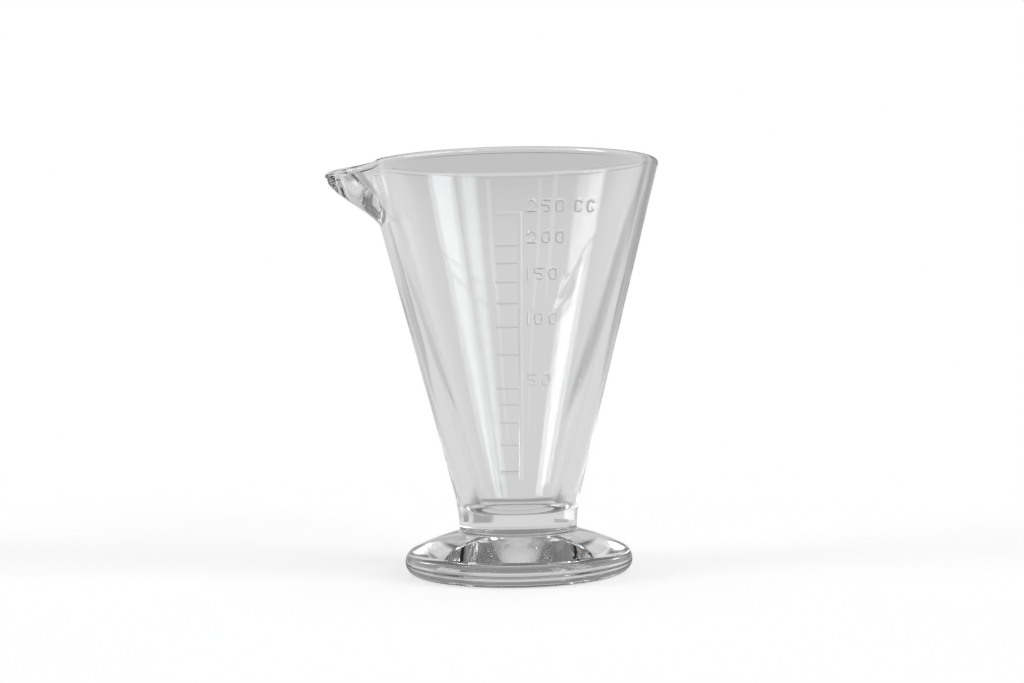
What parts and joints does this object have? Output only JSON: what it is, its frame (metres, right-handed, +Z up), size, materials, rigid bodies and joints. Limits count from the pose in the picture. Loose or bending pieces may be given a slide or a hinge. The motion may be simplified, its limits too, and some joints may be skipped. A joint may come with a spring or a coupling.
{
  "type": "conical glass graduate",
  "caption": "Clear pressed-glass conical graduate for measuring and pouring liquids, with a rounded rim, a pouring spout, a thick base on a domed round foot and a raised volume scale.",
  "frame": {"origin": "centre of the foot's flat underside, on the bowl's axis", "axes": "+Z up along the bowl's axis, -X towards the pouring spout, -Y towards the raised scale"},
  "size_m": [0.1141, 0.1006, 0.14],
  "materials": {
    "clear_glass": "clear fire-polished pressed glass, very slightly grey-green where it is thick"
  },
  "bodies": {
    "root": {"foot": "clear_glass", "thick_base": "clear_glass", "conical_bowl": "clear_glass", "rim_band": "clear_glass", "pour_spout": "clear_glass", "scale_line": "clear_glass", "mark_010": "clear_glass", "mark_020": "clear_glass", "mark_030": "clear_glass", "mark_040": "clear_glass", "mark_050": "clear_glass", "mark_075": "clear_glass", "mark_100": "clear_glass", "mark_125": "clear_glass", "mark_150": "clear_glass", "mark_175": "clear_glass", "mark_200": "clear_glass", "mark_250": "clear_glass", "numeral_050": "clear_glass", "numeral_100": "clear_glass", "numeral_150": "clear_glass", "numeral_200": "clear_glass", "numeral_250": "clear_glass", "unit_cc": "clear_glass"}
  },
  "joints": []
}
